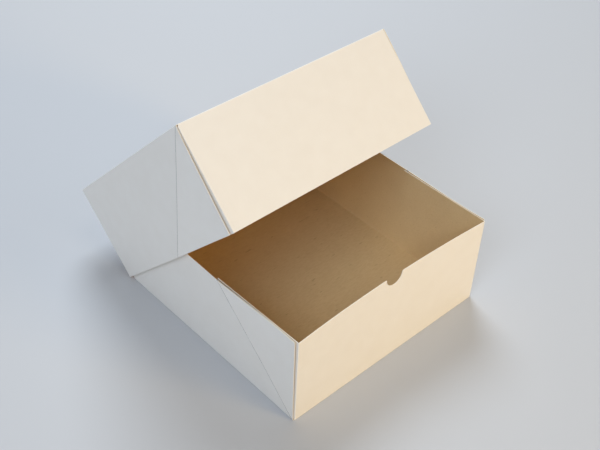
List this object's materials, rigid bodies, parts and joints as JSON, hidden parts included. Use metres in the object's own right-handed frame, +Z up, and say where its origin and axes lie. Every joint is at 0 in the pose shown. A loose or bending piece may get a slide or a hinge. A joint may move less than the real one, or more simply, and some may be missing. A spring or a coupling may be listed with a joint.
{
  "type": "cake box",
  "caption": "Square folded paperboard cake box standing open: a tray with a thumb notch in its front rim, and a deep lid hinged on a leaning back panel.",
  "frame": {"origin": "middle of the base's underside, on the table", "axes": "+X to the right of the box seen from its notched front, +Y towards the back fold, +Z up"},
  "size_m": [0.3204, 0.4059, 0.3007],
  "materials": {
    "board": "white coated paperboard, with a brown kraft back on the inside faces"
  },
  "bodies": {
    "base": {"base_tray": "board"},
    "back": {"back_panel": "board"},
    "lid": {"lid": "board"}
  },
  "joints": [
    {"name": "back_fold", "type": "hinge", "parent": "base", "child": "back", "pos_m": [0, 0.1524, 0.0003], "axis": [-1, 0, 0], "range_deg": [-17.5, 38.5]},
    {"name": "lid_fold", "type": "hinge", "parent": "back", "child": "lid", "pos_m": [0, 0.25375, 0.08092], "axis": [-1, 0, 0], "range_deg": [0, 95.6]}
  ]
}
